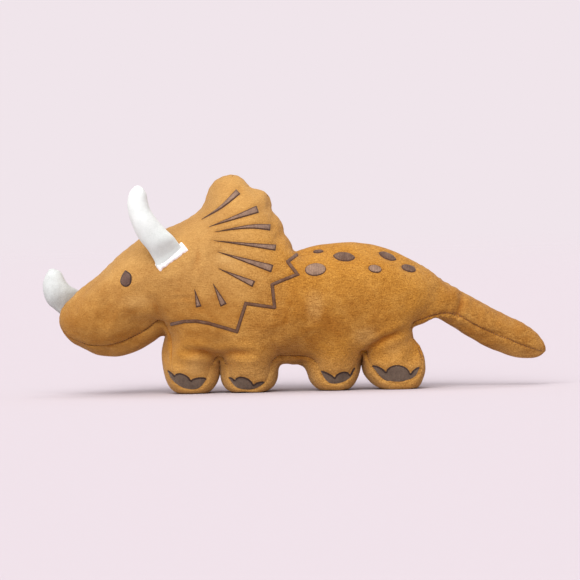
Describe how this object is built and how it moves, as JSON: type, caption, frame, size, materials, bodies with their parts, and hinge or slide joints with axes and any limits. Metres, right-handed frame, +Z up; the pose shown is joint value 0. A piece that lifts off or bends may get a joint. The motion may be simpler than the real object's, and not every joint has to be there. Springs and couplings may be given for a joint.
{
  "type": "stuffed dinosaur",
  "caption": "Stuffed toy dinosaur with a horned head, scalloped neck frill and stubby legs, sewn from short plush with embroidered details, standing on its feet.",
  "frame": {"origin": "middle of the bounding box at the height of the flat soles", "axes": "+Z up, +X from the nose to the tail, -Y toward the toy's left side, which is the side embroidered in view"},
  "size_m": [0.4478, 0.1354, 0.1941],
  "materials": {
    "plush_orange_brown": "short plush pile",
    "plush_horn_white": "short white plush",
    "thread_taupe": "satin embroidery thread",
    "thread_dark_brown": "dark embroidery and sewing thread",
    "fibre_filling": "polyester fibre filling"
  },
  "bodies": {
    "torso": {"body_belly_gusset": "plush_orange_brown", "body_filling": "fibre_filling", "body_left_panel": "plush_orange_brown", "body_right_panel": "plush_orange_brown", "left_back_spot_1": "thread_taupe", "left_back_spot_2": "thread_taupe", "left_back_spot_3": "thread_taupe", "left_back_spot_4": "thread_taupe", "left_back_spot_5": "thread_taupe", "left_back_spot_6": "thread_taupe", "left_belly_seam_thread": "thread_dark_brown", "left_brow_horn_hem": "plush_horn_white", "left_collar_line": "thread_taupe", "left_eye": "thread_dark_brown", "left_frill_ray_1": "thread_taupe", "left_frill_ray_2": "thread_taupe", "left_frill_ray_3": "thread_taupe", "left_frill_ray_4": "thread_taupe", "left_frill_ray_5": "thread_taupe", "left_frill_ray_6": "thread_taupe", "left_frill_ray_7": "thread_taupe", "left_frill_ray_8": "thread_taupe", "left_toenails_1": "thread_taupe", "left_toenails_2": "thread_taupe", "left_toenails_3": "thread_taupe", "left_toenails_4": "thread_taupe", "right_back_spot_1": "thread_taupe", "right_back_spot_2": "thread_taupe", "right_back_spot_3": "thread_taupe", "right_back_spot_4": "thread_taupe", "right_back_spot_5": "thread_taupe", "right_back_spot_6": "thread_taupe", "right_belly_seam_thread": "thread_dark_brown", "right_brow_horn_hem": "plush_horn_white", "right_collar_line": "thread_taupe", "right_eye": "thread_dark_brown", "right_frill_ray_1": "thread_taupe", "right_frill_ray_2": "thread_taupe", "right_frill_ray_3": "thread_taupe", "right_frill_ray_4": "thread_taupe", "right_frill_ray_5": "thread_taupe", "right_frill_ray_6": "thread_taupe", "right_frill_ray_7": "thread_taupe", "right_frill_ray_8": "thread_taupe", "right_toenails_1": "thread_taupe", "right_toenails_2": "thread_taupe", "right_toenails_3": "thread_taupe", "right_toenails_4": "thread_taupe", "tail_root_filling": "fibre_filling", "tail_root_skin": "plush_orange_brown"},
    "tail": {"tail_belly_gusset": "plush_orange_brown", "tail_filling": "fibre_filling", "tail_left_panel": "plush_orange_brown", "tail_right_panel": "plush_orange_brown"},
    "left_brow_horn": {"left_brow_horn_cover": "plush_horn_white", "left_brow_horn_filling": "fibre_filling"},
    "right_brow_horn": {"right_brow_horn_cover": "plush_horn_white", "right_brow_horn_filling": "fibre_filling"},
    "nose_horn": {"nose_horn_cover": "plush_horn_white", "nose_horn_filling": "fibre_filling"}
  },
  "joints": [
    {"name": "tail_bend", "type": "hinge", "parent": "torso", "child": "tail", "pos_m": [0.1467, 0, 0.073], "axis": [0, 0, 1], "range_deg": [-25, 25], "stiffness_Nm_per_rad": 0.05, "deforming": ["tail_root_skin", "tail_root_filling"]},
    {"name": "left_brow_horn_lift", "type": "hinge", "parent": "torso", "child": "left_brow_horn", "pos_m": [-0.11355, -0.0479, 0.1255], "axis": [0.8296, 0, 0.5584], "range_deg": [0, 60], "stiffness_Nm_per_rad": 0.04},
    {"name": "right_brow_horn_lift", "type": "hinge", "parent": "torso", "child": "right_brow_horn", "pos_m": [-0.11355, 0.0479, 0.1255], "axis": [-0.8296, 0, -0.5584], "range_deg": [0, 60], "stiffness_Nm_per_rad": 0.04},
    {"name": "nose_horn_sway", "type": "hinge", "parent": "torso", "child": "nose_horn", "pos_m": [-0.202, 0, 0.086], "axis": [0.6489, 0, 0.7609], "range_deg": [-20, 20], "stiffness_Nm_per_rad": 0.02}
  ]
}
